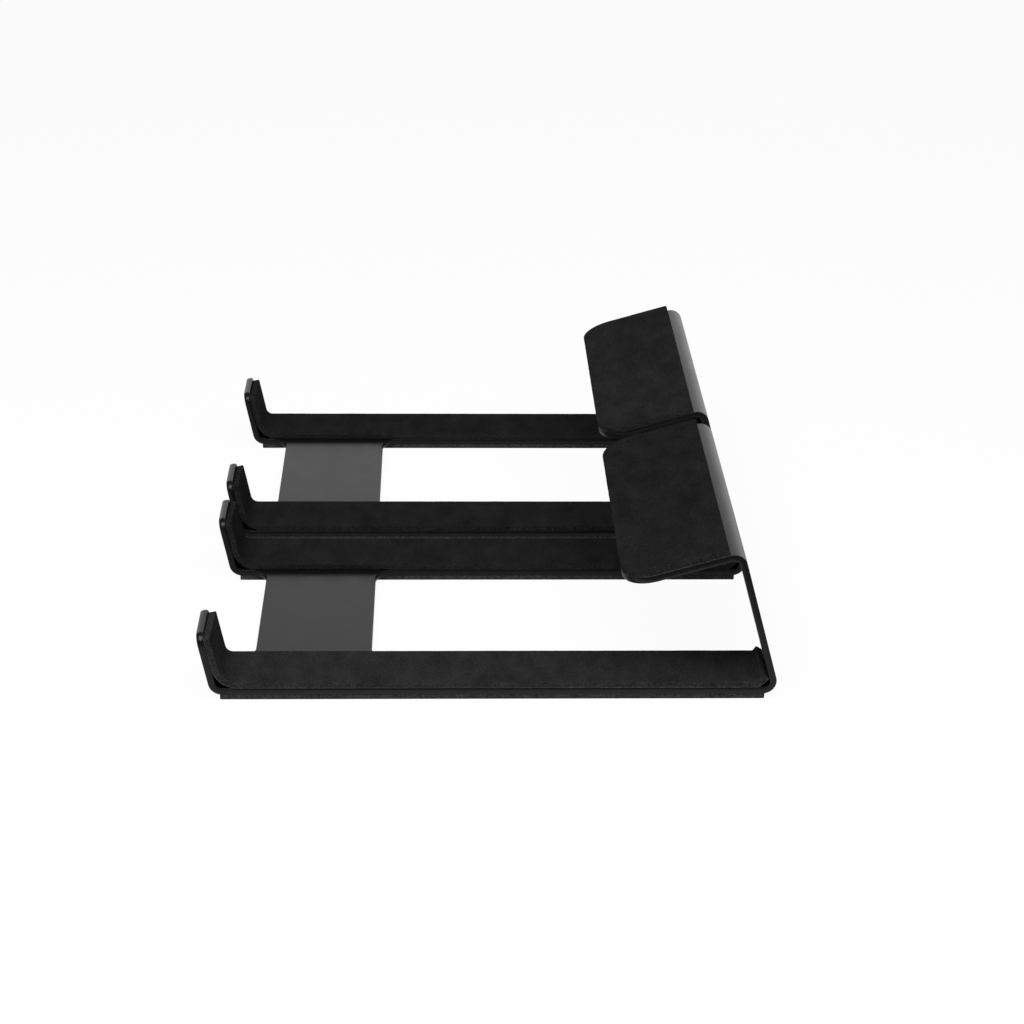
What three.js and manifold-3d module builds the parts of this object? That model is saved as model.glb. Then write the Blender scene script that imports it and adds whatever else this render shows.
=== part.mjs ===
// A laptop stand made of two like brackets that stand side by side on the table.
// Each bracket is one bent steel plate. Two rails lie on the table and end in lips at the front,
// and two legs at the rear carry a shelf that slopes down to the front.
// Soft pads line the rails and the shelf, and thin strips keep the rails off the table.
// Millimetres, +Z up. The lips are at -X and the legs at +X, and the brackets stand along Y.
import * as THREE from "three";
import * as BufferGeometryUtils from "three/addons/utils/BufferGeometryUtils.js";
import Module from "manifold-3d";

const wasm = await Module();
wasm.setup();

const degree = Math.PI / 180;
const quarterTurn = Math.PI / 2;
const halfTurn = Math.PI;

// The bent plate, with lengths measured between the outer corners of its bends
const plateThickness = 3;
const innerBendRadius = 3;
const bracketWidth = 150;
const railWidth = 30;
const baseLength = 247.6;
const lipLength = 28.2;
const lipLean = 11.5 * degree;
const legLength = 70.6;
const legLean = 15.6 * degree;
const shelfLength = 53.3;
const shelfSlope = 16.4 * degree;

// What is cut away from the plate
const crossPlateSetback = 17.2;
const crossPlateWidth = 51.4;
const windowCornerRadius = 9;
const legWindowMargin = 14;
const lipCornerRadius = 5;
const shelfCornerRadius = 15;
const cutterOverrun = 2;

// The pads, each held on its plate by a thin line of glue
const glueLine = 0.3;
const padThickness = 2.7;
const padBendRadius = 9;
const padCornerRadius = 1;
const lipPadSetback = 2;
const curlRadius = 3.9;
const curlAngle = 52 * degree;
const curlTip = 3.6;

// The strips that the rails stand on
const footThickness = 2.1;
const footOverrun = 0.6;
const footCornerRadius = 1.2;

// The pair
const bracketGap = 15;

// How many steps an arc is drawn with
const arcSteps = 10;

const outerBendRadius = innerBendRadius + plateThickness;
const railStarts = [0, bracketWidth - railWidth];
const forward = new THREE.Vector3(1, 0, 0);
const across = new THREE.Vector3(0, 1, 0);

// Points moved to the left of a line, so that each stretch stays parallel to itself
function offsetLine(points, distance) {
  const normals = [];
  for (let i = 1; i < points.length; i += 1) {
    const way = points[i].clone().sub(points[i - 1]).normalize();
    normals.push(new THREE.Vector2(-way.y, way.x));
  }
  return points.map((point, i) => {
    const before = normals[Math.max(i - 1, 0)];
    const after = normals[Math.min(i, normals.length - 1)];
    const mitre = before.clone().add(after).divideScalar(1 + before.dot(after));
    return point.clone().addScaledVector(mitre, distance);
  });
}

// How far a bend of this radius reaches along each side of a corner that turns by this angle
function bendReach(radius, turn) {
  return radius * Math.tan(turn / 2);
}

// A line with an arc in place of each of its inner corners, which have a radius each
function roundedLine(points, radii) {
  const line = [points[0].clone()];
  for (let i = 1; i < points.length - 1; i += 1) {
    const radius = radii[i - 1];
    const wayIn = points[i].clone().sub(points[i - 1]).normalize();
    const wayOut = points[i + 1].clone().sub(points[i]).normalize();
    const turn = Math.acos(wayIn.dot(wayOut));
    const start = points[i].clone().addScaledVector(wayIn, -bendReach(radius, turn));
    const centre = start.clone().add(new THREE.Vector2(-wayIn.y, wayIn.x).multiplyScalar(radius));
    for (let step = 0; step <= arcSteps; step += 1) {
      line.push(start.clone().rotateAround(centre, (turn * step) / arcSteps));
    }
  }
  line.push(points[points.length - 1].clone());
  return line;
}

// The side view of a strip that follows a line: its outer face on the line, its inner face to the left
function stripShape(points, thickness, outerRadii) {
  const innerRadii = outerRadii.map((radius) => radius - thickness);
  const outer = roundedLine(points, outerRadii);
  const inner = roundedLine(offsetLine(points, thickness), innerRadii);
  return new THREE.Shape([...outer, ...inner.reverse()]);
}

// A side view, drawn in X and Z, made a solid of this width along Y
function sideExtrusion(shape, width) {
  const geometry = new THREE.ExtrudeGeometry(shape, { depth: width, bevelEnabled: false });
  geometry.rotateX(quarterTurn);
  geometry.translate(0, width, 0);
  return geometry;
}

// A rectangle with one corner radius at its start and another at its end
function panelOutline(start, end, width, startRadius, endRadius) {
  const shape = new THREE.Shape();
  shape.moveTo(start + startRadius, 0);
  shape.lineTo(end - endRadius, 0);
  if (endRadius > 0) shape.absarc(end - endRadius, endRadius, endRadius, -quarterTurn, 0, false);
  shape.lineTo(end, width - endRadius);
  if (endRadius > 0) shape.absarc(end - endRadius, width - endRadius, endRadius, 0, quarterTurn, false);
  shape.lineTo(start + startRadius, width);
  if (startRadius > 0) {
    shape.absarc(start + startRadius, width - startRadius, startRadius, quarterTurn, halfTurn, false);
  }
  shape.lineTo(start, startRadius);
  if (startRadius > 0) {
    shape.absarc(start + startRadius, startRadius, startRadius, halfTurn, halfTurn + quarterTurn, false);
  }
  return shape;
}

// What is left outside a rounded corner: side is 1 where the panel lies at greater Y, and -1 where at less
function cornerOutline(radius, side) {
  const points = [
    new THREE.Vector2(-cutterOverrun, -cutterOverrun * side),
    new THREE.Vector2(radius, -cutterOverrun * side),
  ];
  for (let step = 0; step <= arcSteps; step += 1) {
    const angle = (quarterTurn * step) / arcSteps;
    const point = new THREE.Vector2(1 - Math.sin(angle), (1 - Math.cos(angle)) * side);
    points.push(point.multiplyScalar(radius));
  }
  points.push(new THREE.Vector2(-cutterOverrun, radius * side));
  return new THREE.Shape(points);
}

// A prism over an outline that is drawn on a panel: first along the panel, then along Y
function panelPrism(outline, origin, along, low, high) {
  const geometry = new THREE.ExtrudeGeometry(outline, {
    depth: high - low,
    bevelEnabled: false,
    curveSegments: arcSteps,
  });
  geometry.translate(0, 0, low);
  const normal = new THREE.Vector3().crossVectors(along, across);
  geometry.applyMatrix4(new THREE.Matrix4().makeBasis(along, across, normal).setPosition(origin));
  return geometry;
}

// A closed mesh as a solid that can be cut
function toSolid(geometry) {
  const plain = geometry.clone();
  plain.deleteAttribute("normal");
  plain.deleteAttribute("uv");
  const merged = BufferGeometryUtils.mergeVertices(plain);
  return new wasm.Manifold(
    new wasm.Mesh({
      numProp: 3,
      vertProperties: new Float32Array(merged.attributes.position.array),
      triVerts: new Uint32Array(merged.index.array),
    }),
  );
}

// A cut solid as a mesh again
function toGeometry(solid) {
  const mesh = solid.getMesh();
  const geometry = new THREE.BufferGeometry();
  geometry.setAttribute("position", new THREE.BufferAttribute(new Float32Array(mesh.vertProperties), 3));
  geometry.setIndex(new THREE.BufferAttribute(new Uint32Array(mesh.triVerts), 1));
  const flat = geometry.toNonIndexed();
  flat.computeVertexNormals();
  return flat;
}

// The outer corners of the plate, from the lip's top, down and round to the shelf's front edge
const lipWay = new THREE.Vector2(-Math.sin(lipLean), Math.cos(lipLean));
const legWay = new THREE.Vector2(-Math.sin(legLean), Math.cos(legLean));
const shelfWay = new THREE.Vector2(Math.cos(shelfSlope), Math.sin(shelfSlope));
const frontCorner = new THREE.Vector2(0, 0);
const rearCorner = new THREE.Vector2(baseLength, 0);
const lipTop = frontCorner.clone().addScaledVector(lipWay, lipLength);
const topCorner = rearCorner.clone().addScaledVector(legWay, legLength);
const shelfFront = topCorner.clone().addScaledVector(shelfWay, -shelfLength);
const plateLine = [lipTop, frontCorner, rearCorner, topCorner, shelfFront];

// How far each bend turns
const frontTurn = quarterTurn - lipLean;
const rearTurn = quarterTurn + legLean;
const topTurn = quarterTurn + shelfSlope - legLean;

// A point of the side view, at this place along Y
function place(point, y) {
  return new THREE.Vector3(point.x, y, point.y);
}

// One bent plate, with its window, its open front and its rounded corners
function makeBracketGeometry() {
  const reach = plateThickness + innerBendRadius + cutterOverrun;
  const openWidth = bracketWidth - railWidth - railWidth;
  const upLeg = place(legWay, 0);
  const downLip = place(lipWay, 0).negate();
  const upShelf = place(shelfWay, 0);
  const windowStart = crossPlateSetback + crossPlateWidth;

  const frontOutline = panelOutline(-lipLength, crossPlateSetback, openWidth, 0, windowCornerRadius);
  const baseOutline = panelOutline(windowStart, baseLength + reach, openWidth, windowCornerRadius, 0);
  const legOutline = panelOutline(0, legLength - legWindowMargin, openWidth, 0, windowCornerRadius);
  const cutters = [
    panelPrism(frontOutline, place(frontCorner, railWidth), forward, -reach, lipLength + reach),
    panelPrism(baseOutline, place(frontCorner, railWidth), forward, -reach, reach),
    panelPrism(legOutline, place(rearCorner, railWidth), upLeg, -reach, reach),
  ];
  for (const start of railStarts) {
    for (const [y, side] of [[start, 1], [start + railWidth, -1]]) {
      const outline = cornerOutline(lipCornerRadius, side);
      cutters.push(panelPrism(outline, place(lipTop, y), downLip, -reach, reach));
    }
  }
  for (const [y, side] of [[0, 1], [bracketWidth, -1]]) {
    const outline = cornerOutline(shelfCornerRadius, side);
    cutters.push(panelPrism(outline, place(shelfFront, y), upShelf, -reach, reach));
  }

  const plateRadii = plateLine.slice(1, -1).map(() => outerBendRadius);
  let plate = toSolid(sideExtrusion(stripShape(plateLine, plateThickness, plateRadii), bracketWidth));
  for (const cutter of cutters) plate = plate.subtract(toSolid(cutter));
  return toGeometry(plate);
}

// A long pad that lines the lip, cuts the corner, lies along the rail and curls up at the leg
function makeRailPadGeometry() {
  const padTop = lipTop.clone().addScaledVector(lipWay, -lipPadSetback);
  const seat = offsetLine([padTop, frontCorner, rearCorner, topCorner], plateThickness + glueLine);
  const curlReach = bendReach(curlRadius, curlAngle) + curlTip;
  const curlSetback = (curlReach * Math.cos(curlAngle - legLean)) / Math.cos(legLean);
  const curlCorner = new THREE.Vector2(seat[2].x - curlSetback, seat[2].y);
  const curlWay = new THREE.Vector2(Math.cos(curlAngle), Math.sin(curlAngle));
  const padEnd = curlCorner.clone().addScaledVector(curlWay, curlReach);
  const padLine = [seat[0], seat[1], curlCorner, padEnd];
  const shape = stripShape(padLine, padThickness, [padBendRadius, curlRadius]);
  return sideExtrusion(shape, railWidth);
}

// The pad on the shelf, with the shelf's own outline, up to where the plate starts to bend
function makeShelfPadGeometry() {
  const length = shelfLength - bendReach(outerBendRadius, topTurn);
  const outline = panelOutline(0, length, bracketWidth, shelfCornerRadius, padCornerRadius);
  return panelPrism(outline, place(shelfFront, 0), place(shelfWay, 0), glueLine, glueLine + padThickness);
}

// The strip under a rail, a little longer than the rail's flat length
function makeFootStripGeometry() {
  const start = bendReach(outerBendRadius, frontTurn) - footOverrun;
  const end = baseLength - bendReach(outerBendRadius, rearTurn) + footOverrun;
  const outline = panelOutline(start, end, railWidth, footCornerRadius, footCornerRadius);
  return panelPrism(outline, place(frontCorner, 0), forward, -footThickness - glueLine, -glueLine);
}

// The finishes
function makeSteel() {
  return new THREE.MeshStandardMaterial({ color: 0x3a3a3c, roughness: 0.45, metalness: 0.2 });
}
function makeFoam() {
  return new THREE.MeshStandardMaterial({ color: 0x262627, roughness: 0.95, metalness: 0 });
}
function makeStripRubber() {
  return new THREE.MeshStandardMaterial({ color: 0x2e2e2f, roughness: 0.9, metalness: 0 });
}

// One named piece, placed along Y
function piece(name, geometry, material, y) {
  const mesh = new THREE.Mesh(geometry, material);
  mesh.name = name;
  mesh.position.y = y;
  return mesh;
}

// One bracket with its pads and strips, whose rails are named from the one at the lower Y
function makeUnit(side, railNames) {
  const unit = new THREE.Group();
  unit.add(piece(`${side}_bracket`, makeBracketGeometry(), makeSteel(), 0));
  unit.add(piece(`${side}_shelf_pad`, makeShelfPadGeometry(), makeFoam(), 0));
  railStarts.forEach((start, i) => {
    const rail = `${side}_${railNames[i]}`;
    unit.add(piece(`${rail}_rail_pad`, makeRailPadGeometry(), makeFoam(), start));
    unit.add(piece(`${rail}_foot_strip`, makeFootStripGeometry(), makeStripRubber(), start));
  });
  return unit;
}

const stand = new THREE.Group();
const rightUnit = makeUnit("right", ["outer", "inner"]);
const leftUnit = makeUnit("left", ["inner", "outer"]);
leftUnit.position.y = bracketWidth + bracketGap;
stand.add(rightUnit, leftUnit);

// The origin is on the table, under the middle of the pair
const bounds = new THREE.Box3().setFromObject(stand);
const middle = bounds.getCenter(new THREE.Vector3());
stand.position.set(-middle.x, -middle.y, -bounds.min.z);

export default stand;
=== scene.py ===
# %% [markdown]
# # A laptop stand made of two bent brackets
# The stand is a pair of like brackets that stand side by side. Each bracket is one steel plate,
# cut flat and then bent three times: a lip that stops the laptop, two rails on the table, and two
# legs with a sloped shelf on top. Foam pads line the rails and the shelf, and thin rubber strips
# keep the steel off the table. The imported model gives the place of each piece. This script makes
# the finished surfaces there.

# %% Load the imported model
import math

import bmesh
import bpy
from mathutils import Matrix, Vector, noise


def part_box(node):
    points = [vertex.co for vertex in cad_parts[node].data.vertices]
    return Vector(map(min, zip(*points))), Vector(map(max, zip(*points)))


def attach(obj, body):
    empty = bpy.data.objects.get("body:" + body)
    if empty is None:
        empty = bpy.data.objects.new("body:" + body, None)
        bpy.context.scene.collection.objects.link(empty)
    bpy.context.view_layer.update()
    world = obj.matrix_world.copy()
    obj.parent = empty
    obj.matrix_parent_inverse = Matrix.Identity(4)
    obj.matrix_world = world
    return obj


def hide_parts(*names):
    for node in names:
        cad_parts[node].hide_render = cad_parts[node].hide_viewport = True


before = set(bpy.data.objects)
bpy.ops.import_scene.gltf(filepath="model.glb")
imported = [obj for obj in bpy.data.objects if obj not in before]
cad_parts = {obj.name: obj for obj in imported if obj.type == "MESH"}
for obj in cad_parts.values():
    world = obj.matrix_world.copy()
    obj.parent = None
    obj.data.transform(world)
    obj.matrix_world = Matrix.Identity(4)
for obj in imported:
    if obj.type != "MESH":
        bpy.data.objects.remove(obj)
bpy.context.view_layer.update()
MM = 0.001


def in_mm(*lengths):
    """Lengths in millimetres, as text for the printed lines."""
    return ", ".join(f"{length / MM:.4g}" for length in lengths) + " mm"


# %% [markdown]
# ## The camera
# A product photograph like this is taken from a little above, with a long lens, so that the rails
# stay almost parallel. The camera looks along +Y, across the rails, and is turned a little to the
# right, so that the stand is in the middle of the picture. A small roll then brings the rails
# level again.

# %% Place the camera
picture_width = 1024
focal_pixels = 2449.45
camera_place = (-0.02172, -1.09752, 0.50716)
camera_turn = (66.0329, -0.7076, -1.5835)

camera_data = bpy.data.cameras.new("camera")
camera_data.sensor_width = 36
camera_data.lens = camera_data.sensor_width * focal_pixels / picture_width
camera = bpy.data.objects.new("camera", camera_data)
camera.location = camera_place
camera.rotation_euler = [math.radians(angle) for angle in camera_turn]
bpy.context.scene.collection.objects.link(camera)
bpy.context.scene.camera = camera
print("lens", round(camera_data.lens, 2), "mm")

# %% [markdown]
# ## The sizes of a bracket
# A sheet metal shop describes a bent part by the corners that its flat faces would meet in, and
# by the radius of each bend. The same few sizes are used here, in metres, and everything else is
# worked out from them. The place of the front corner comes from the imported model's own box.

# %% Sizes of the bent plate
plate_thickness = 3 * MM
bend_radius = 6 * MM
bracket_width = 150 * MM
rail_width = 30 * MM
base_length = 247.6 * MM
lip_length = 28.2 * MM
lip_lean = math.radians(11.5)
leg_length = 70.6 * MM
leg_lean = math.radians(15.6)
shelf_length = 53.3 * MM
shelf_slope = math.radians(16.4)
cross_plate_setback = 17.2 * MM
cross_plate_width = 51.4 * MM
leg_window_margin = 14 * MM
window_corner = 9 * MM
lip_corner = 5 * MM
shelf_corner = 15 * MM

quarter = math.radians(90)
front_turn = quarter - lip_lean
rear_turn = quarter + leg_lean
top_turn = quarter + shelf_slope - leg_lean

plate_low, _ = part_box("right_bracket")
front_corner = Vector((plate_low.x + lip_length * math.sin(lip_lean), plate_low.z))
print("front corner at", in_mm(*front_corner))

# %% [markdown]
# ## The side view
# Every bend of this stand runs straight across it, so its whole shape can be drawn in the side
# view, as a path in X and Z. A heading is the angle that the path has there. It grows as the path
# turns to the left, and the left of the bracket's path is the inside of its bends.

# %% Ways and points of the side view
def along(heading):
    """The way of a heading, in X and Z."""
    return Vector((math.cos(heading), math.sin(heading)))


def to_left(heading):
    """The way to the left of a heading, in X and Z."""
    return Vector((-math.sin(heading), math.cos(heading)))


def in_space(point, y):
    """A point of the side view, at this place along Y."""
    return Vector((point.x, y, point.y))


def reach(radius, turn):
    """How far a bend reaches along each side of its corner."""
    return radius * math.tan(turn / 2)


front_reach, rear_reach, top_reach = (
    reach(bend_radius, turn) for turn in (front_turn, rear_turn, top_turn)
)
print("the bends reach", in_mm(front_reach, rear_reach, top_reach))

# %% [markdown]
# ## A sheet that grows along its side view
# A bent plate keeps its width while it runs straight and turns. So it starts with a row of edges
# across the strip. An extrude pushes the row forward for each flat stretch, and a spin swings it
# round for each bend. Solidify then gives the sheet its thickness. A spin makes true bends, where
# bending a box with a modifier would stretch it.

# %% The growing sheet
bend_steps = 16


class Sheet:
    """A strip that grows from a row of edges, with the inside of its bends on the left."""

    def __init__(self, start, heading, stations):
        self.bm = bmesh.new()
        self.point = start.copy()
        self.heading = heading
        corners = [self.bm.verts.new(in_space(start, y)) for y in stations]
        self.row = [self.bm.edges.new(pair) for pair in zip(corners, corners[1:])]

    def straight(self, length):
        """Carries the row forward, and returns the new faces."""
        before = set(self.bm.faces)
        way = along(self.heading) * length
        made = bmesh.ops.extrude_edge_only(self.bm, edges=self.row)["geom"]
        corners = {part for part in made if isinstance(part, bmesh.types.BMVert)}
        bmesh.ops.translate(self.bm, verts=list(corners), vec=in_space(way, 0))
        edges = [part for part in made if isinstance(part, bmesh.types.BMEdge)]
        self.row = [edge for edge in edges if corners.issuperset(edge.verts)]
        self.point += way
        return [face for face in self.bm.faces if face not in before]

    def bend(self, radius, turn):
        """Swings the row round to the left, and returns the new faces."""
        before = set(self.bm.faces)
        centre = self.point + to_left(self.heading) * radius
        spun = bmesh.ops.spin(
            self.bm, geom=self.row, cent=in_space(centre, 0), axis=(0, -1, 0), angle=turn,
            steps=bend_steps,
        )
        self.row = [part for part in spun["geom_last"] if isinstance(part, bmesh.types.BMEdge)]
        self.heading += turn
        self.point = centre - to_left(self.heading) * radius
        return [face for face in self.bm.faces if face not in before]

    def thicken(self, thickness):
        """Gives the sheet its thickness to the left."""
        self.bm.normal_update()
        bmesh.ops.solidify(self.bm, geom=self.bm.faces[:], thickness=-thickness)
        bmesh.ops.recalc_face_normals(self.bm, faces=self.bm.faces[:])


print("each bend is made of", bend_steps, "flats")

# %% [markdown]
# ## Patterns that stay on the object
# All the finishes are made of noise in Object coordinates. Every piece keeps its object at the
# origin, so one metre of pattern is one metre of stand on all of them. The helper takes the size
# of a blotch in metres, which is easier to judge than a scale. Sheets are rolled and sprayed
# across the rails, so the blotches are longer that way.

# %% A new material and its noise
blotch_squeeze = 0.5


def start_material(name):
    """A new material, its node tree and its shader."""
    material = bpy.data.materials.new(name)
    material.use_nodes = True
    tree = material.node_tree
    return material, tree, tree.nodes["Principled BSDF"]


def blotches(tree, size, detail, roughness=0.5):
    """Noise whose blotches are about this many metres across, and longer along Y."""
    place = tree.nodes.new("ShaderNodeTexCoord")
    shape = tree.nodes.new("ShaderNodeMapping")
    shape.inputs["Scale"].default_value = (1, blotch_squeeze, 1)
    cloud = tree.nodes.new("ShaderNodeTexNoise")
    cloud.inputs["Scale"].default_value = 1 / size
    cloud.inputs["Detail"].default_value = detail
    cloud.inputs["Roughness"].default_value = roughness
    tree.links.new(place.outputs["Object"], shape.inputs["Vector"])
    tree.links.new(shape.outputs["Vector"], cloud.inputs["Vector"])
    return cloud.outputs["Fac"]


print("blotches are", 1 / blotch_squeeze, "times as long along Y")

# %% [markdown]
# ## Black powder coat
# Powder is sprayed on dry and baked. It melts into a tough skin that is a little uneven, like the
# peel of an orange, and half glossy. Seen from low down it mirrors the bright room, which is why
# the black cross plate looks grey. The colour is nearly even. The relief is two noises, one for
# the peel and one for the grain.

# %% Powder coat
coat_blotch, coat_greys = 4 * MM, [(0.3, 0.0035), (0.7, 0.0055)]
gloss_blotch, coat_gloss = 9 * MM, [(0.3, 0.27), (0.7, 0.31)]
coat_ior = 1.31
peel_size, peel_depth = 1.1 * MM, 0.016 * MM
grain_size, grain_depth = 0.45 * MM, 0.008 * MM


def ramp(tree, source, stops):
    """A colour ramp with two stops over a pattern. Each stop is a place and a grey."""
    node = tree.nodes.new("ShaderNodeValToRGB")
    for element, (place, grey) in zip(node.color_ramp.elements, stops):
        element.position = place
        element.color = (grey, grey, grey, 1)
    tree.links.new(source, node.inputs["Fac"])
    return node.outputs["Color"]


def relief(tree, height, depth, before=None):
    """A bump of this many metres over a pattern that runs from 0 to 1."""
    node = tree.nodes.new("ShaderNodeBump")
    node.inputs["Strength"].default_value = 1
    node.inputs["Distance"].default_value = depth
    tree.links.new(height, node.inputs["Height"])
    if before is not None:
        tree.links.new(before, node.inputs["Normal"])
    return node.outputs["Normal"]


coat, coat_tree, coat_shader = start_material("powder_coat")
coat_colour = ramp(coat_tree, blotches(coat_tree, coat_blotch, detail=3), coat_greys)
coat_roughness = ramp(coat_tree, blotches(coat_tree, gloss_blotch, detail=3), coat_gloss)
coat_peel = relief(coat_tree, blotches(coat_tree, peel_size, detail=1), peel_depth)
coat_grain = relief(coat_tree, blotches(coat_tree, grain_size, detail=1), grain_depth, coat_peel)
coat_tree.links.new(coat_colour, coat_shader.inputs["Base Color"])
coat_tree.links.new(coat_roughness, coat_shader.inputs["Roughness"])
coat_tree.links.new(coat_grain, coat_shader.inputs["Normal"])
coat_shader.inputs["IOR"].default_value = coat_ior
print("finish:", coat.name)

# %% [markdown]
# ## Foam
# The pads are cut from a sheet of soft black foam. Its skin is matte and faintly mottled, and
# where the blade went through, the open cells make a paler, speckled edge. So the foam has two
# materials: one for the skin and one for the cut. A third gives a broken pale line along the foot
# of the sides of some pads.

# %% Matte foam
mottle_size = 9 * MM
dent_size = 1.6 * MM
foam_roughness = 0.95
foam_ior = 1.08


def multiplied(tree, first, second):
    """Two colours multiplied."""
    node = tree.nodes.new("ShaderNodeMix")
    node.data_type = "RGBA"
    node.blend_type = "MULTIPLY"
    node.inputs["Factor"].default_value = 1
    tree.links.new(first, node.inputs["A"])
    tree.links.new(second, node.inputs["B"])
    return node.outputs["Result"]


def make_foam(name, mottle, specks, pore, depth):
    """Matte foam. mottle and specks are stops of a ramp, and the grain has the size pore.

    The grain is as deep as depth, and the wider dents are twice as deep.
    """
    material, tree, shader = start_material(name)
    broad = ramp(tree, blotches(tree, mottle_size, detail=4, roughness=0.6), mottle)
    fine = ramp(tree, blotches(tree, pore, detail=1), specks)
    tree.links.new(multiplied(tree, broad, fine), shader.inputs["Base Color"])
    dents = relief(tree, blotches(tree, dent_size, detail=3), depth * 2)
    grain = relief(tree, blotches(tree, pore, detail=2), depth, dents)
    tree.links.new(grain, shader.inputs["Normal"])
    shader.inputs["Roughness"].default_value = foam_roughness
    shader.inputs["IOR"].default_value = foam_ior
    return material


print("foam is mottled every", in_mm(mottle_size))

# %% Broken pale line
pale_dash_size = 1.5 * MM
pale_dash_greys = [(0.48, 0.015), (0.62, 0.062)]
pale_run_size = 60 * MM
pale_run_shares = [(0.42, 0.3), (0.58, 1)]
pale_line_roughness = 0.4

# A broken pale line in the colour, along the foot of a pad's cut sides: pale dashes in long runs.
pale_line, pale_line_tree, pale_line_shader = start_material("broken_pale_line")
pale_dashes = ramp(pale_line_tree, blotches(pale_line_tree, pale_dash_size, detail=2), pale_dash_greys)
pale_runs = ramp(pale_line_tree, blotches(pale_line_tree, pale_run_size, detail=1), pale_run_shares)
pale_line_colour = multiplied(pale_line_tree, pale_dashes, pale_runs)
pale_line_tree.links.new(pale_line_colour, pale_line_shader.inputs["Base Color"])
pale_line_shader.inputs["Roughness"].default_value = pale_line_roughness
print("finish:", pale_line.name)

# %% [markdown]
# ## Tones of foam, and painted sheen
# Each grey is one that the skin and the cut vary about. The nearest rail pad is paler than the
# others. The far shelf pad is paler too, which is painted sheen for the light that it catches from
# behind. Pads without the broken pale line have cut foam down to the steel.

# %% Foam tones and painted sheen
# The middle grey is painted sheen: the far shelf pad is made paler for the light that it catches.
tone_and_sheen_greys = {"pale": 0.0182, "middle": 0.0150, "dark": 0.0112}
skin_specks = [(0.3, 0.7), (0.7, 1.3)]
skin_pore, skin_depth = 0.65 * MM, 0.03 * MM
cut_specks = [(0.35, 0.6), (0.7, 1.5)]
cut_pore, cut_depth = 0.7 * MM, 0.08 * MM

foam_per_tone_and_sheen = {}
for tone, grey in tone_and_sheen_greys.items():
    skin_mottle = [(0.3, 0.72 * grey), (0.7, 1.28 * grey)]
    cut_mottle = [(0.3, 1.05 * grey), (0.7, 1.55 * grey)]
    skin_foam = make_foam(f"{tone}_foam_skin", skin_mottle, skin_specks, skin_pore, skin_depth)
    cut_foam = make_foam(f"{tone}_foam_cut", cut_mottle, cut_specks, cut_pore, cut_depth)
    foam_per_tone_and_sheen[tone] = [skin_foam, cut_foam, pale_line]

dark_skin, dark_cut, _ = foam_per_tone_and_sheen["dark"]
# Dark foam without the pale line: its cut material goes down to the steel.
foam_per_tone_and_sheen["dark, no pale line"] = [dark_skin, dark_cut, dark_cut]
print("foam tones and sheen:", list(foam_per_tone_and_sheen))

# %% [markdown]
# ## Rubber strips
# The strips under the rails are a firmer, greyer rubber. All that shows of them is the cut edge,
# which is speckled like the foam's, so the same helper makes it.

# %% Strip rubber
rubber_mottle = [(0.3, 0.027), (0.7, 0.037)]
rubber_pore, rubber_depth = 0.8 * MM, 0.07 * MM
strip_rubber = make_foam("strip_rubber", rubber_mottle, cut_specks, rubber_pore, rubber_depth)
print("finish:", strip_rubber.name)

# %% [markdown]
# ## The bracket
# The sheet starts at the top of the lip and follows the plate's outer face: down the lip, along
# the base, up the leg and back along the shelf. It is three bands wide, one for each rail and one
# between them. Where the real plate has a window, the middle band's faces are deleted.

# %% Flat stretches of the bracket
lip_flat = lip_length - front_reach
base_flat = base_length - front_reach - rear_reach
to_cross_plate = cross_plate_setback - front_reach
behind_cross_plate = base_flat - to_cross_plate - cross_plate_width
leg_window_height = leg_length - leg_window_margin - rear_reach
leg_header = leg_window_margin - top_reach
shelf_flat = shelf_length - top_reach

lip_top = front_corner + to_left(lip_lean) * lip_length
down_the_lip = lip_lean - quarter
print("flats of lip, base and shelf:", in_mm(lip_flat, base_flat, shelf_flat))

# %% Grow the plate
def halfway_through(sheet, stations):
    """The places of the upright edges where the sheet ends now, halfway through the plate."""
    inside = sheet.point + to_left(sheet.heading) * (plate_thickness / 2)
    return [in_space(inside, y) for y in stations]


def grow_plate(y_low):
    """The sheet of a bracket from this place along Y, and where its corners will be."""
    band_ends = (0, rail_width, bracket_width - rail_width, bracket_width)
    stations = [y_low + place for place in band_ends]
    middle = y_low + bracket_width / 2
    sheet = Sheet(lip_top, down_the_lip, stations)

    def between_rails(faces):
        """The faces of the middle band."""
        return [face for face in faces if abs(face.calc_center_median().y - middle) < rail_width]

    lip_tips = halfway_through(sheet, stations)
    openings = between_rails(sheet.straight(lip_flat))
    openings += between_rails(sheet.bend(bend_radius, front_turn))
    openings += between_rails(sheet.straight(to_cross_plate))
    window_corners = halfway_through(sheet, stations[1:3])
    sheet.straight(cross_plate_width)
    window_corners += halfway_through(sheet, stations[1:3])
    openings += between_rails(sheet.straight(behind_cross_plate))
    openings += between_rails(sheet.bend(bend_radius, rear_turn))
    openings += between_rails(sheet.straight(leg_window_height))
    window_corners += halfway_through(sheet, stations[1:3])
    sheet.straight(leg_header)
    sheet.bend(bend_radius, top_turn)
    sheet.straight(shelf_flat)
    shelf_tips = halfway_through(sheet, [stations[0], stations[3]])

    bmesh.ops.delete(sheet.bm, geom=openings, context="FACES")
    print("window faces deleted:", len(openings))
    return sheet, lip_tips, window_corners, shelf_tips


# %% [markdown]
# ## Edges of the plate
# Once the plate has its thickness, the corners of the windows are upright edges, and a wide bevel
# makes each of them round. The cut sides are then made a little convex: the upper part of each
# leans to the dark room and the lower part to the pale table, so an edge runs from dark to light.
# A narrow bevel last breaks every sharp edge, as tumbling does before the powder goes on.

# %% Bevels for corners and edges
edge_break = 0.25 * MM
edge_break_steps = 4
sharp_from = math.radians(40)


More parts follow.
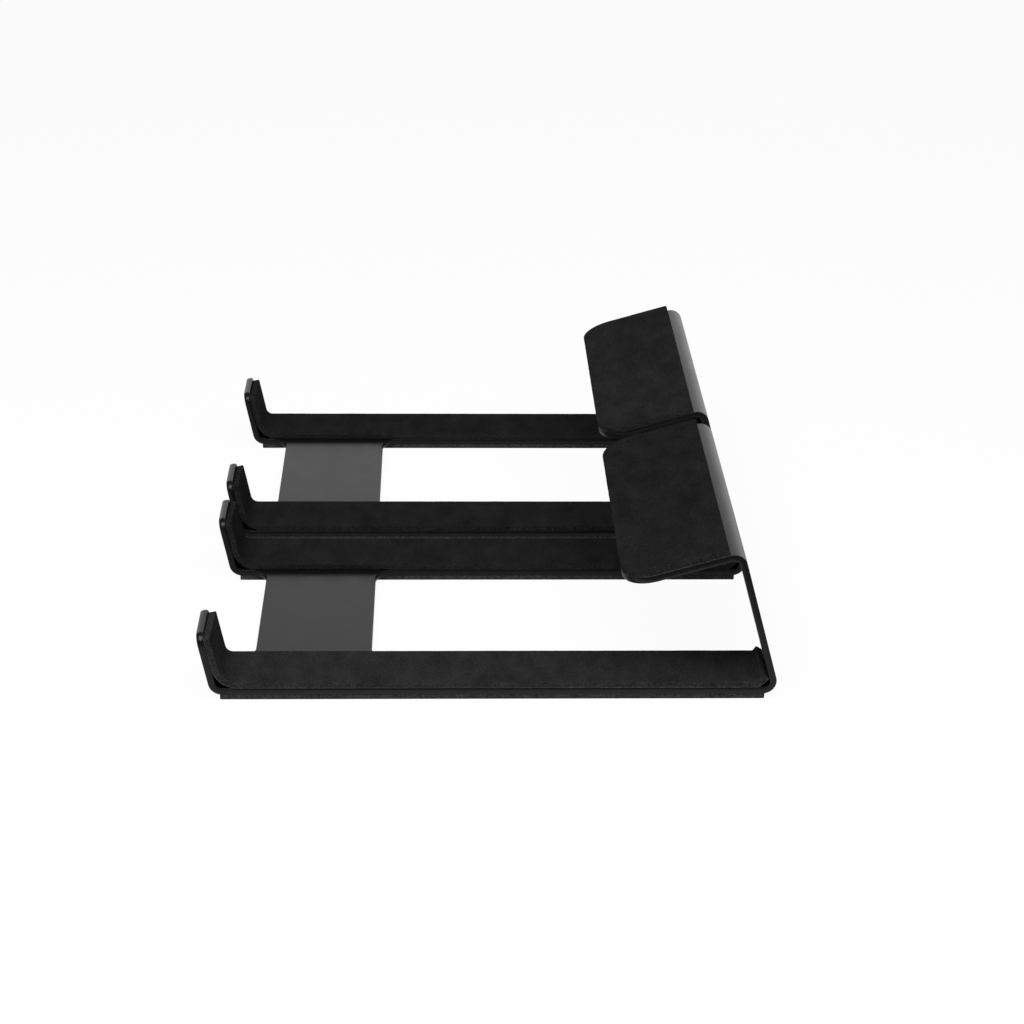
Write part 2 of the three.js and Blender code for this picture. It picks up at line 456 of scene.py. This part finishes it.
def bevel_edges(bm, edges, width, steps):
    """Rounds these edges. The bevels of this stand all have room, so none is held back."""
    bmesh.ops.bevel(
        bm, geom=edges, offset=width, segments=steps, profile=0.5, affect="EDGES", material=-1,
        clamp_overlap=False,
    )


def middle_of(edge):
    """The middle of an edge."""
    return (edge.verts[0].co + edge.verts[1].co) / 2


def round_corners(bm, places, radius, steps):
    """Rounds the upright edges that pass these places, halfway through the plate."""
    near = plate_thickness / 2
    chosen = [
        edge for edge in bm.edges
        if any((middle_of(edge) - place).length < near for place in places)
    ]
    bevel_edges(bm, chosen, radius, steps)
    return len(chosen)


def break_edges(bm):
    """Gives every sharp edge a small round."""
    sharp = [edge for edge in bm.edges if edge.is_manifold and edge.calc_face_angle() > sharp_from]
    bevel_edges(bm, sharp, edge_break, edge_break_steps)


print("sharp edges get a round of", in_mm(edge_break))

# %% Flat faces and convex sides
flat_enough = math.radians(0.5)
looks_sideways = 0.5
side_swell = 0.25 * MM
side_cuts = 3
off_middle_swell = 0.75


def merge_flats(bm):
    """Makes one face of each flat stretch. The cut sides are left as they are."""
    not_sides = [
        edge for edge in bm.edges
        if all(abs(face.normal.y) < looks_sideways for face in edge.link_faces)
    ]
    bmesh.ops.dissolve_limit(bm, angle_limit=flat_enough, verts=bm.verts[:], edges=not_sides)


def swell_sides(bm, height, swell):
    """Cuts the sides of a plate of this height along their length and pushes the cuts out."""
    upright = [edge for edge in bm.edges if abs(edge.calc_length() - height) < height / 100]
    parts = bmesh.ops.subdivide_edges(bm, edges=upright, cuts=side_cuts)["geom_inner"]
    made = {part for part in parts if isinstance(part, bmesh.types.BMVert)}
    bm.normal_update()
    for corner in made:
        halfway = all(edge.other_vert(corner) in made for edge in corner.link_edges)
        corner.co += corner.normal * swell * (1 if halfway else off_middle_swell)
    return len(upright)


print("sides swell by", in_mm(side_swell))

# %% Make a bracket
window_corner_steps = 16
lip_corner_steps = 10
shelf_corner_steps = 18


def make_bracket(y_low):
    """The bent plate, with its windows and rounded corners, from this place along Y."""
    sheet, lip_tips, window_corners, shelf_tips = grow_plate(y_low)
    sheet.thicken(plate_thickness)
    merge_flats(sheet.bm)
    rounded = round_corners(sheet.bm, window_corners, window_corner, window_corner_steps)
    rounded += round_corners(sheet.bm, lip_tips, lip_corner, lip_corner_steps)
    rounded += round_corners(sheet.bm, shelf_tips, shelf_corner, shelf_corner_steps)
    print("rounded corners:", rounded)
    print("sides swelled at", swell_sides(sheet.bm, plate_thickness, side_swell), "edges")
    break_edges(sheet.bm)
    return sheet.bm


# %% [markdown]
# ## Pads that are cut and glued
# In the workshop a pad is cut flat from a sheet, and then it is pressed onto the steel. The
# script does the same. First it cuts a flat piece whose sides stand up straight, breaks its top
# edge and rules a fine grid into it. Bisecting at a plane rules each line, which leaves the
# outline as it is, where a remesh would blur it. The length of the flat piece runs in X, its
# width in Y and its thickness in Z.

# %% Cut a flat blank
soft_edge = 0.4 * MM
soft_edge_steps = 3
fewest_arc_steps = 4
arc_steps_per_mm = 1.6


def cut_blank(length, width, thickness, start_corner, end_corner):
    """A flat piece with rounded corners and a soft top edge."""
    bm = bmesh.new()
    places = ((0, 0), (length, 0), (length, width), (0, width))
    outline = [bm.verts.new((x, y, 0)) for x, y in places]
    bm.faces.new(outline)
    start_pair, end_pair = (outline[0], outline[3]), (outline[1], outline[2])
    for radius, pair in ((start_corner, start_pair), (end_corner, end_pair)):
        arc_steps = max(fewest_arc_steps, round(radius / MM * arc_steps_per_mm))
        bmesh.ops.bevel(
            bm, geom=pair, offset=radius, segments=arc_steps, profile=0.5, affect="VERTICES",
            material=-1,
        )
    bm.normal_update()
    bmesh.ops.solidify(bm, geom=bm.faces[:], thickness=-thickness)
    bmesh.ops.recalc_face_normals(bm, faces=bm.faces[:])
    tops = [
        edge for edge in bm.edges if min(corner.co.z for corner in edge.verts) > thickness / 2
    ]
    bevel_edges(bm, tops, soft_edge, soft_edge_steps)
    return bm


print("a pad's soft edge is", in_mm(soft_edge))

# %% Rule a grid
on_the_cut = 1e-7
past_the_cut = 1e-6
looks_down = -0.5


def rule_lines(bm, axis, places, faces):
    """Cuts these faces at these places along an axis. The places go up."""
    across_axis = Vector((0, 0, 0))
    across_axis[axis] = 1
    ahead = faces
    for place in places:
        edges = {edge for face in ahead for edge in face.edges}
        corners = {corner for face in ahead for corner in face.verts}
        cut = bmesh.ops.bisect_plane(
            bm, geom=[*ahead, *edges, *corners], dist=on_the_cut, plane_co=across_axis * place,
            plane_no=across_axis,
        )["geom"]
        ahead = [
            part for part in cut
            if isinstance(part, bmesh.types.BMFace)
            and max(corner.co[axis] for corner in part.verts) > place + past_the_cut
        ]


def not_below(bm):
    """The faces that don't look down, because the glued side needs no grid across it."""
    return [face for face in bm.faces if face.normal.z > looks_down]


print("a face is past a cut from", in_mm(past_the_cut))

# %% Cut a pad and tell its sides apart
# The lowest share of a pad's cut sides carries the broken pale line.
pale_line_band = 0.12
side_lines = (pale_line_band, 0.35, 0.6)
skin_lean = 0.6
skin, cut_side, pale_line_side = range(3)


def cut_pad(length, width, thickness, start_corner, end_corner, step):
    """A flat pad with a grid of lines over it and a material slot on each face."""
    bm = cut_blank(length, width, thickness, start_corner, end_corner)
    rule_lines(bm, 0, [step * k for k in range(1, math.ceil(length / step))], bm.faces[:])
    rule_lines(bm, 1, [step * k for k in range(1, math.ceil(width / step))], not_below(bm))
    rule_lines(bm, 2, [thickness * share for share in side_lines], not_below(bm))
    for face in bm.faces:
        if abs(face.normal.z) > skin_lean:
            face.material_index = skin
        elif face.calc_center_median().z < thickness * pale_line_band:
            face.material_index = pale_line_side
        else:
            face.material_index = cut_side
    return bm


print("the glue shows on", pale_line_band, "of a pad's height")

# %% [markdown]
# ## Dimples and frayed sides
# Foam is soft, and a knife drags at it. So the points of the flat pad are pushed about with
# noise: the skin dimples a little, and the cut sides are ragged. Real points are moved, not only
# their shading, because the sides are seen against the white table.

# %% Rough up a pad
pad_dimple = 0.05 * MM
pad_fray = 0.1 * MM
broad_dimple, fine_dimple, fine_dimple_share = 7 * MM, 1.8 * MM, 0.5
fine_fray, broad_fray, broad_fray_share = 1.1 * MM, 3 * MM, 0.6
skin_part_of_edge = 0.4
still = Vector((0, 0, 0))


def wobble(point, size):
    """Smooth noise from -1 to 1 at this place, with lumps of this size."""
    return noise.noise(point / size)


def rough_move(corner, spot, thickness, dimple, fray):
    """How a point of the pad moves: the skin up or down, a cut side in or out."""
    if corner.co.z > thickness - soft_edge * skin_part_of_edge:
        lumps = wobble(spot, broad_dimple) + fine_dimple_share * wobble(spot, fine_dimple)
        return Vector((0, 0, dimple * lumps))
    if corner.co.z > thickness * pale_line_band / 2:
        outward = Vector((corner.normal.x, corner.normal.y, 0))
        lumps = wobble(spot, fine_fray) + broad_fray_share * wobble(spot, broad_fray)
        return outward * fray * lumps
    return still


def rough_up(bm, thickness, dimple, fray, piece_number):
    """Dimples the skin and frays the cut sides. Each piece has its own part of the noise."""
    bm.normal_update()
    offset = Vector((0, piece_number, 0))
    moves = [
        rough_move(corner, corner.co + offset, thickness, dimple, fray) for corner in bm.verts
    ]
    for corner, move in zip(bm.verts, moves):
        corner.co += move


print("sides fray by", in_mm(pad_fray))

# %% [markdown]
# ## Laying a pad on its seat
# A seat is a path in the side view: a list of stretches, each with a length and a turn. A point
# of the flat pad goes as far along the path as it was along the pad, and then its height to the
# left of the path. On a bend that crowds the pad's top and keeps its glued side true to length,
# which is what a real pad does.

# %% Lay a pad along a path
pad_offset = plate_thickness + 0.05 * MM
run_on = (1, 0)


def follow(start, heading, stretches, distance):
    """The place and the heading after this distance along the stretches, and straight on."""
    point = start.copy()
    for length, turn in [*stretches, run_on]:
        part = min(distance, length)
        if turn:
            radius = length / turn
            centre = point + to_left(heading) * radius
            heading += part / radius
            point = centre - to_left(heading) * radius
        else:
            point += along(heading) * part
        distance -= part
        if distance <= 0:
            break
    return point, heading


def lay_pad(bm, y_low, place_on_seat):
    """Moves a flat pad onto its seat. The function gives a point's place, heading and height."""
    for corner in bm.verts:
        point, heading, height = place_on_seat(corner.co)
        corner.co = in_space(point + to_left(heading) * height, y_low + corner.co.y)


print("a pad lies", in_mm(pad_offset), "from the outer face of the plate")

# %% [markdown]
# ## The rail pads
# A rail pad starts a little below the top of its lip, runs down, rounds the corner with a larger
# radius than the plate's, so that a dark gap is left behind it, and lies along the rail. At the
# leg it is a little too long, and its end curls up against the leg. It was pressed on by hand,
# slightly askew: on its near side it starts higher up the lip and cuts the corner more widely
# than on its far side, and the curl turns a little less.

# %% Seat of a rail pad, with a pair of sizes for its near and its far side
pad_setback = (1.2 * MM, 2.8 * MM)
pad_radius = (11.5 * MM, 6.5 * MM)
curl_start = (-2.8 * MM, -1.6 * MM)
curl_radius = (3.4 * MM, 3.8 * MM)
curl_turn = (math.radians(47), math.radians(57))
curl_tip = (4.35 * MM, 2.3 * MM)
seat_sizes = (pad_setback, pad_radius, curl_start, curl_radius, curl_turn, curl_tip)
rear_bend_start = front_corner.x + base_length - rear_reach


def rail_seat(share):
    """Where the seat starts, and its stretches, at this share of the width from the near side."""
    setback, radius, curl_from, small_radius, turn, tip = (
        near + (far - near) * share for near, far in seat_sizes
    )
    start = lip_top - to_left(lip_lean) * setback + along(lip_lean) * pad_offset
    corner_reach = reach(pad_offset + radius, front_turn)
    lip = (lip_length - setback - corner_reach, 0)
    corner = (radius * front_turn, front_turn)
    flat = (rear_bend_start + curl_from - (front_corner.x + corner_reach), 0)
    curl = (small_radius * turn, turn)
    return start, [lip, corner, flat, curl, (tip, 0)]


def seat_length(stretches):
    """The length of a seat."""
    return sum(length for length, _ in stretches)


for share in (0, 0.5, 1):
    print("seat length at", share, in_mm(seat_length(rail_seat(share)[1])))

# %% Make a rail pad
rail_pad_length = seat_length(rail_seat(0.5)[1])
rail_pad_thickness = 2.95 * MM
rail_pad_corners = (1.2 * MM, 0.6 * MM)
fine_grid = 0.8 * MM


def make_rail_pad(y_low, piece_number):
    """A pad for the rail that starts at this place along Y."""
    bm = cut_pad(rail_pad_length, rail_width, rail_pad_thickness, *rail_pad_corners, fine_grid)
    rough_up(bm, rail_pad_thickness, pad_dimple, pad_fray, piece_number)

    def on_seat(flat):
        start, stretches = rail_seat(flat.y / rail_width)
        stretch = seat_length(stretches) / rail_pad_length
        point, heading = follow(start, down_the_lip, stretches, flat.x * stretch)
        return point, heading, flat.z

    lay_pad(bm, y_low, on_seat)
    return bm


print("a rail pad is", in_mm(rail_pad_length, rail_width, rail_pad_thickness))

# %% [markdown]
# ## The shelf pads
# A shelf pad covers the flat part of the shelf and has the same rounded front corners. Its seat
# is a single straight stretch, so it needs no path.

# %% Make a shelf pad
shelf_pad_thickness = 2.95 * MM
shelf_pad_rear_corner = 1 * MM
coarse_grid = 1.1 * MM
glue_gap = pad_offset - plate_thickness
rear_corner = front_corner + Vector((base_length, 0))
top_corner = rear_corner + along(quarter + leg_lean) * leg_length
shelf_front = top_corner - along(shelf_slope) * shelf_length


def lay_straight(bm, y_low, start, heading):
    """Lays a flat piece straight along a heading."""
    lay_pad(bm, y_low, lambda flat: (start + along(heading) * flat.x, heading, flat.z))


def make_shelf_pad(y_low, piece_number):
    """The pad on the shelf of the bracket that starts at this place along Y."""
    corners = (shelf_corner, shelf_pad_rear_corner)
    bm = cut_pad(shelf_flat, bracket_width, shelf_pad_thickness, *corners, coarse_grid)
    rough_up(bm, shelf_pad_thickness, pad_dimple, pad_fray, piece_number)
    lay_straight(bm, y_low, shelf_front + to_left(shelf_slope) * glue_gap, shelf_slope)
    return bm


print("a shelf pad is", in_mm(shelf_flat, bracket_width, shelf_pad_thickness))

# %% [markdown]
# ## The foot strips
# A foot strip reaches under its rail from bend to bend. It is glued on from below, so it is laid
# backwards: its left, where its thickness grows, is then down.

# %% Make a foot strip
foot_overrun = 1 * MM
foot_thickness = 2.3 * MM
foot_corner = 0.6 * MM
foot_dimple = 0.02 * MM
backwards = math.radians(180)
foot_rear = rear_bend_start + foot_overrun
foot_length = foot_rear - (front_corner.x + front_reach - foot_overrun)
foot_start = Vector((foot_rear, front_corner.y - glue_gap))


def make_foot_strip(y_low, piece_number):
    """The strip under the rail that starts at this place along Y."""
    corners = (foot_corner, foot_corner)
    bm = cut_pad(foot_length, rail_width, foot_thickness, *corners, coarse_grid)
    rough_up(bm, foot_thickness, foot_dimple, pad_fray, piece_number)
    lay_straight(bm, y_low, foot_start, backwards)
    return bm


print("a foot strip is", in_mm(foot_length, rail_width, foot_thickness))

# %% [markdown]
# ## Finishing touches that every piece shares
# A mesh from bmesh has no name, no material and no place in the model. This helper writes it out,
# smooths its shading, hides the solid that it stands for and hangs it on the body that it moves
# with. Weighted normals keep the large flat faces truly flat to the eye, while the small rounded
# edges between them catch the light.

# %% Write a finished piece
flat_face_weight = 60


def write_piece(bm, name, materials, body, node):
    """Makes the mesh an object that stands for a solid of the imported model."""
    bmesh.ops.recalc_face_normals(bm, faces=bm.faces[:])
    mesh = bpy.data.meshes.new(name)
    bm.to_mesh(mesh)
    bm.free()
    for material in materials:
        mesh.materials.append(material)
    mesh.shade_smooth()
    piece = bpy.data.objects.new(name, mesh)
    bpy.context.scene.collection.objects.link(piece)
    weighted = piece.modifiers.new("flat faces stay flat", "WEIGHTED_NORMAL")
    weighted.weight = flat_face_weight
    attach(piece, body)
    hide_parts(node)
    print(name, len(mesh.polygons), "faces")
    return piece


print("large faces weigh", flat_face_weight, "in the shading")

# %% [markdown]
# ## Twelve pieces
# Both units are made by the same functions, at the places that the imported model gives. The
# nearest rail pad and the shelf pads show the broken pale line, and each has its own grey. The far
# shelf pad's paler grey is painted sheen. The other rail pads are dark, without the pale line.

# %% Make the pieces
# The far shelf pad, left_shelf_pad, gets the middle grey as painted sheen.
pad_tone_and_sheen = {
    "right_outer_rail_pad": "pale", "left_shelf_pad": "middle", "right_shelf_pad": "dark",
}
rubber_all_over = [strip_rubber] * 3
number = 0


def write_pad(bm, name, body, node):
    """Writes a pad out in the foam of its grey."""
    foam = foam_per_tone_and_sheen[pad_tone_and_sheen.get(node, "dark, no pale line")]
    piece = write_piece(bm, name, foam, body, node)


for side in ("right", "left"):
    body = f"{side}_unit"
    low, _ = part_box(f"{side}_bracket")
    plate = make_bracket(low.y)
    node = f"{side}_bracket"
    write_piece(plate, f"{side}_bracket_plate", [coat], body, node)
    number += 1
    shelf_pad = make_shelf_pad(low.y, number)
    write_pad(shelf_pad, f"{side}_shelf_foam", body, f"{side}_shelf_pad")
    for rail in (f"{side}_outer", f"{side}_inner"):
        rail_low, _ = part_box(f"{rail}_rail_pad")
        number += 1
        rail_pad = make_rail_pad(rail_low.y, number)
        write_pad(rail_pad, f"{rail}_rail_foam", body, f"{rail}_rail_pad")
        strip = make_foot_strip(rail_low.y, number)
        node = f"{rail}_foot_strip"
        write_piece(strip, f"{rail}_foot_rubber", rubber_all_over, body, node)

# %% [markdown]
# ## The table
# The stand is photographed on a white sweep. It shows almost pure white to the camera, which
# white paper under a lamp would not, so the floor mostly glows for the rays that see it as a
# background. For all other rays it is plain paper, and the small share of paper in the blend
# keeps a faint shadow. In reflections the glow is half as bright between the rails, which shade
# it, and dark where the lit part ends, a hand's width in front.

# %% Floor
floor_size = 12
floor_bm = bmesh.new()
bmesh.ops.create_grid(floor_bm, x_segments=1, y_segments=1, size=floor_size / 2)
floor_mesh = bpy.data.meshes.new("floor")
floor_bm.to_mesh(floor_mesh)
floor_bm.free()
floor = bpy.data.objects.new("floor", floor_mesh)
bpy.context.scene.collection.objects.link(floor)
print("floor", floor_size, "m across")

# %% Paper, and how much of it glows
paper_grey = 0.8
glow_share = 0.95


def combine(tree, kind, first, second=None):
    """One or two numbers put through a Math node. The second is a socket or a plain number."""
    node = tree.nodes.new("ShaderNodeMath")
    node.operation = kind
    tree.links.new(first, node.inputs[0])
    if isinstance(second, bpy.types.NodeSocket):
        tree.links.new(second, node.inputs[1])
    elif second is not None:
        node.inputs[1].default_value = second
    return node.outputs[0]


def background_rays(tree):
    """1 for rays from the camera, from a mirror and through glass, and 0 for the rest."""
    path = tree.nodes.new("ShaderNodeLightPath")
    either = combine(tree, "MAXIMUM", path.outputs["Is Camera Ray"], path.outputs["Is Glossy Ray"])
    return combine(tree, "MAXIMUM", either, path.outputs["Is Transmission Ray"])


paper, paper_tree, paper_shader = start_material("white_paper")
paper_shader.inputs["Base Color"].default_value = (paper_grey, paper_grey, paper_grey, 1)
paper_shader.inputs["Roughness"].default_value = 1
paper_shader.inputs["Specular IOR Level"].default_value = 0
glow_part = combine(paper_tree, "MULTIPLY", background_rays(paper_tree), glow_share)
print("finish:", paper.name)

# %% How bright the glow is in reflections
front_light_edge, front_light = (-0.3, -0.2), (0.1, 1)
stand_side_edge, stand_side_light = (0.14, 0.157), (0.5, 1)


def fade(tree, source, places, values):
    """A number that goes smoothly from one value to the other between two places."""
    node = tree.nodes.new("ShaderNodeMapRange")
    node.interpolation_type = "SMOOTHSTEP"
    for end, place, value in zip(("Min", "Max"), places, values):
        node.inputs[f"From {end}"].default_value = place
        node.inputs[f"To {end}"].default_value = value
    tree.links.new(source, node.inputs["Value"])
    return node.outputs["Result"]


def full_for_camera(tree, source):
    """This number, but at least 1 for rays from the camera."""
    path = tree.nodes.new("ShaderNodeLightPath")
    return combine(tree, "MAXIMUM", source, path.outputs["Is Camera Ray"])


floor_place = paper_tree.nodes.new("ShaderNodeTexCoord")
floor_axes = paper_tree.nodes.new("ShaderNodeSeparateXYZ")
paper_tree.links.new(floor_place.outputs["Object"], floor_axes.inputs["Vector"])
floor_y = floor_axes.outputs["Y"]
from_middle = combine(paper_tree, "ABSOLUTE", floor_y)
in_front = fade(paper_tree, floor_y, front_light_edge, front_light)
beside = fade(paper_tree, from_middle, stand_side_edge, stand_side_light)
mirrored = combine(paper_tree, "MULTIPLY", in_front, beside)
print("mirrored floor, from the middle out:", stand_side_light)

# %% Blend paper and glow
glow = paper_tree.nodes.new("ShaderNodeEmission")
paper_tree.links.new(full_for_camera(paper_tree, mirrored), glow.inputs["Strength"])
blend = paper_tree.nodes.new("ShaderNodeMixShader")
paper_tree.links.new(glow_part, blend.inputs["Fac"])
paper_tree.links.new(paper_shader.outputs["BSDF"], blend.inputs[1])
paper_tree.links.new(glow.outputs["Emission"], blend.inputs[2])
paper_surface = paper_tree.nodes["Material Output"].inputs["Surface"]
paper_tree.links.new(blend.outputs["Shader"], paper_surface)
floor_mesh.materials.append(paper)
print("share of glow in the paper:", glow_share)

# %% [markdown]
# ## The room
# The room behind the stand is brightest at the horizon, where the cross plates mirror it, and
# dark overhead and behind the camera. The camera itself sees it white. The light that it casts is
# weak and even, because the soft boxes do most of the work.

# %% Room
room_brightness = 0.25
wall_fade = (math.radians(10), math.radians(56))
wall_brightness, ceiling_brightness = 1.62, 0.08

world = bpy.data.worlds.new("studio")
world.use_nodes = True
bpy.context.scene.world = world
room = world.node_tree
room_light = room.nodes["Background"]
room_light.inputs["Color"].default_value = (1, 1, 1, 1)
room_light.inputs["Strength"].default_value = room_brightness

direction = room.nodes.new("ShaderNodeTexCoord")
apart = room.nodes.new("ShaderNodeSeparateXYZ")
room.links.new(direction.outputs["Generated"], apart.inputs["Vector"])
elevation = combine(room, "ARCTAN2", apart.outputs["Z"], apart.outputs["Y"])
far_wall = fade(room, elevation, wall_fade, (wall_brightness, ceiling_brightness))
seen = room.nodes.new("ShaderNodeBackground")
room.links.new(full_for_camera(room, far_wall), seen.inputs["Strength"])

choose = room.nodes.new("ShaderNodeMixShader")
room.links.new(background_rays(room), choose.inputs["Fac"])
room.links.new(room_light.outputs["Background"], choose.inputs[1])
room.links.new(seen.outputs["Background"], choose.inputs[2])
room.links.new(choose.outputs["Shader"], room.nodes["World Output"].inputs["Surface"])
print("room light", room_brightness)

# %% [markdown]
# ## The lamps
# Two soft boxes hang high up in front of the stand: the key on the right, and a smaller one on
# the left, which the rounded corners of the lips mirror. Because they hang high, the shelves
# shade the rear ends of the rails. An area lamp is a soft box, so both are area lamps.

# %% Lamps
stand_middle = Vector((0, 0, 0.02))
soft_boxes = {
    "key": {"place": (0.36, -0.43, 0.99), "size": 1, "power": 6.6},
    "side": {"place": (-0.34, -0.54, 0.91), "size": 0.6, "power": 8},
}


def add_lamp(name, place, size, power):
    """A square soft box at a place, aimed at the stand."""
    data = bpy.data.lights.new(name, "AREA")
    data.shape = "SQUARE"
    data.size = size
    data.energy = power
    lamp = bpy.data.objects.new(name, data)
    lamp.location = place
    lamp.rotation_mode = "QUATERNION"
    lamp.rotation_quaternion = (stand_middle - Vector(place)).to_track_quat("-Z", "Y")
    bpy.context.scene.collection.objects.link(lamp)
    print(name, power, "W")


for name, soft_box in soft_boxes.items():
    add_lamp(name, **soft_box)

# %% [markdown]
# ## Colours at the end
# The Standard view shows the colours as they are, where the usual one would grey the white table.
# The finished surfaces are then measured against the solids, which they may hardly exceed.

# %% Colours as they are
bpy.context.scene.view_settings.view_transform = "Standard"
print("view:", bpy.context.scene.view_settings.view_transform)
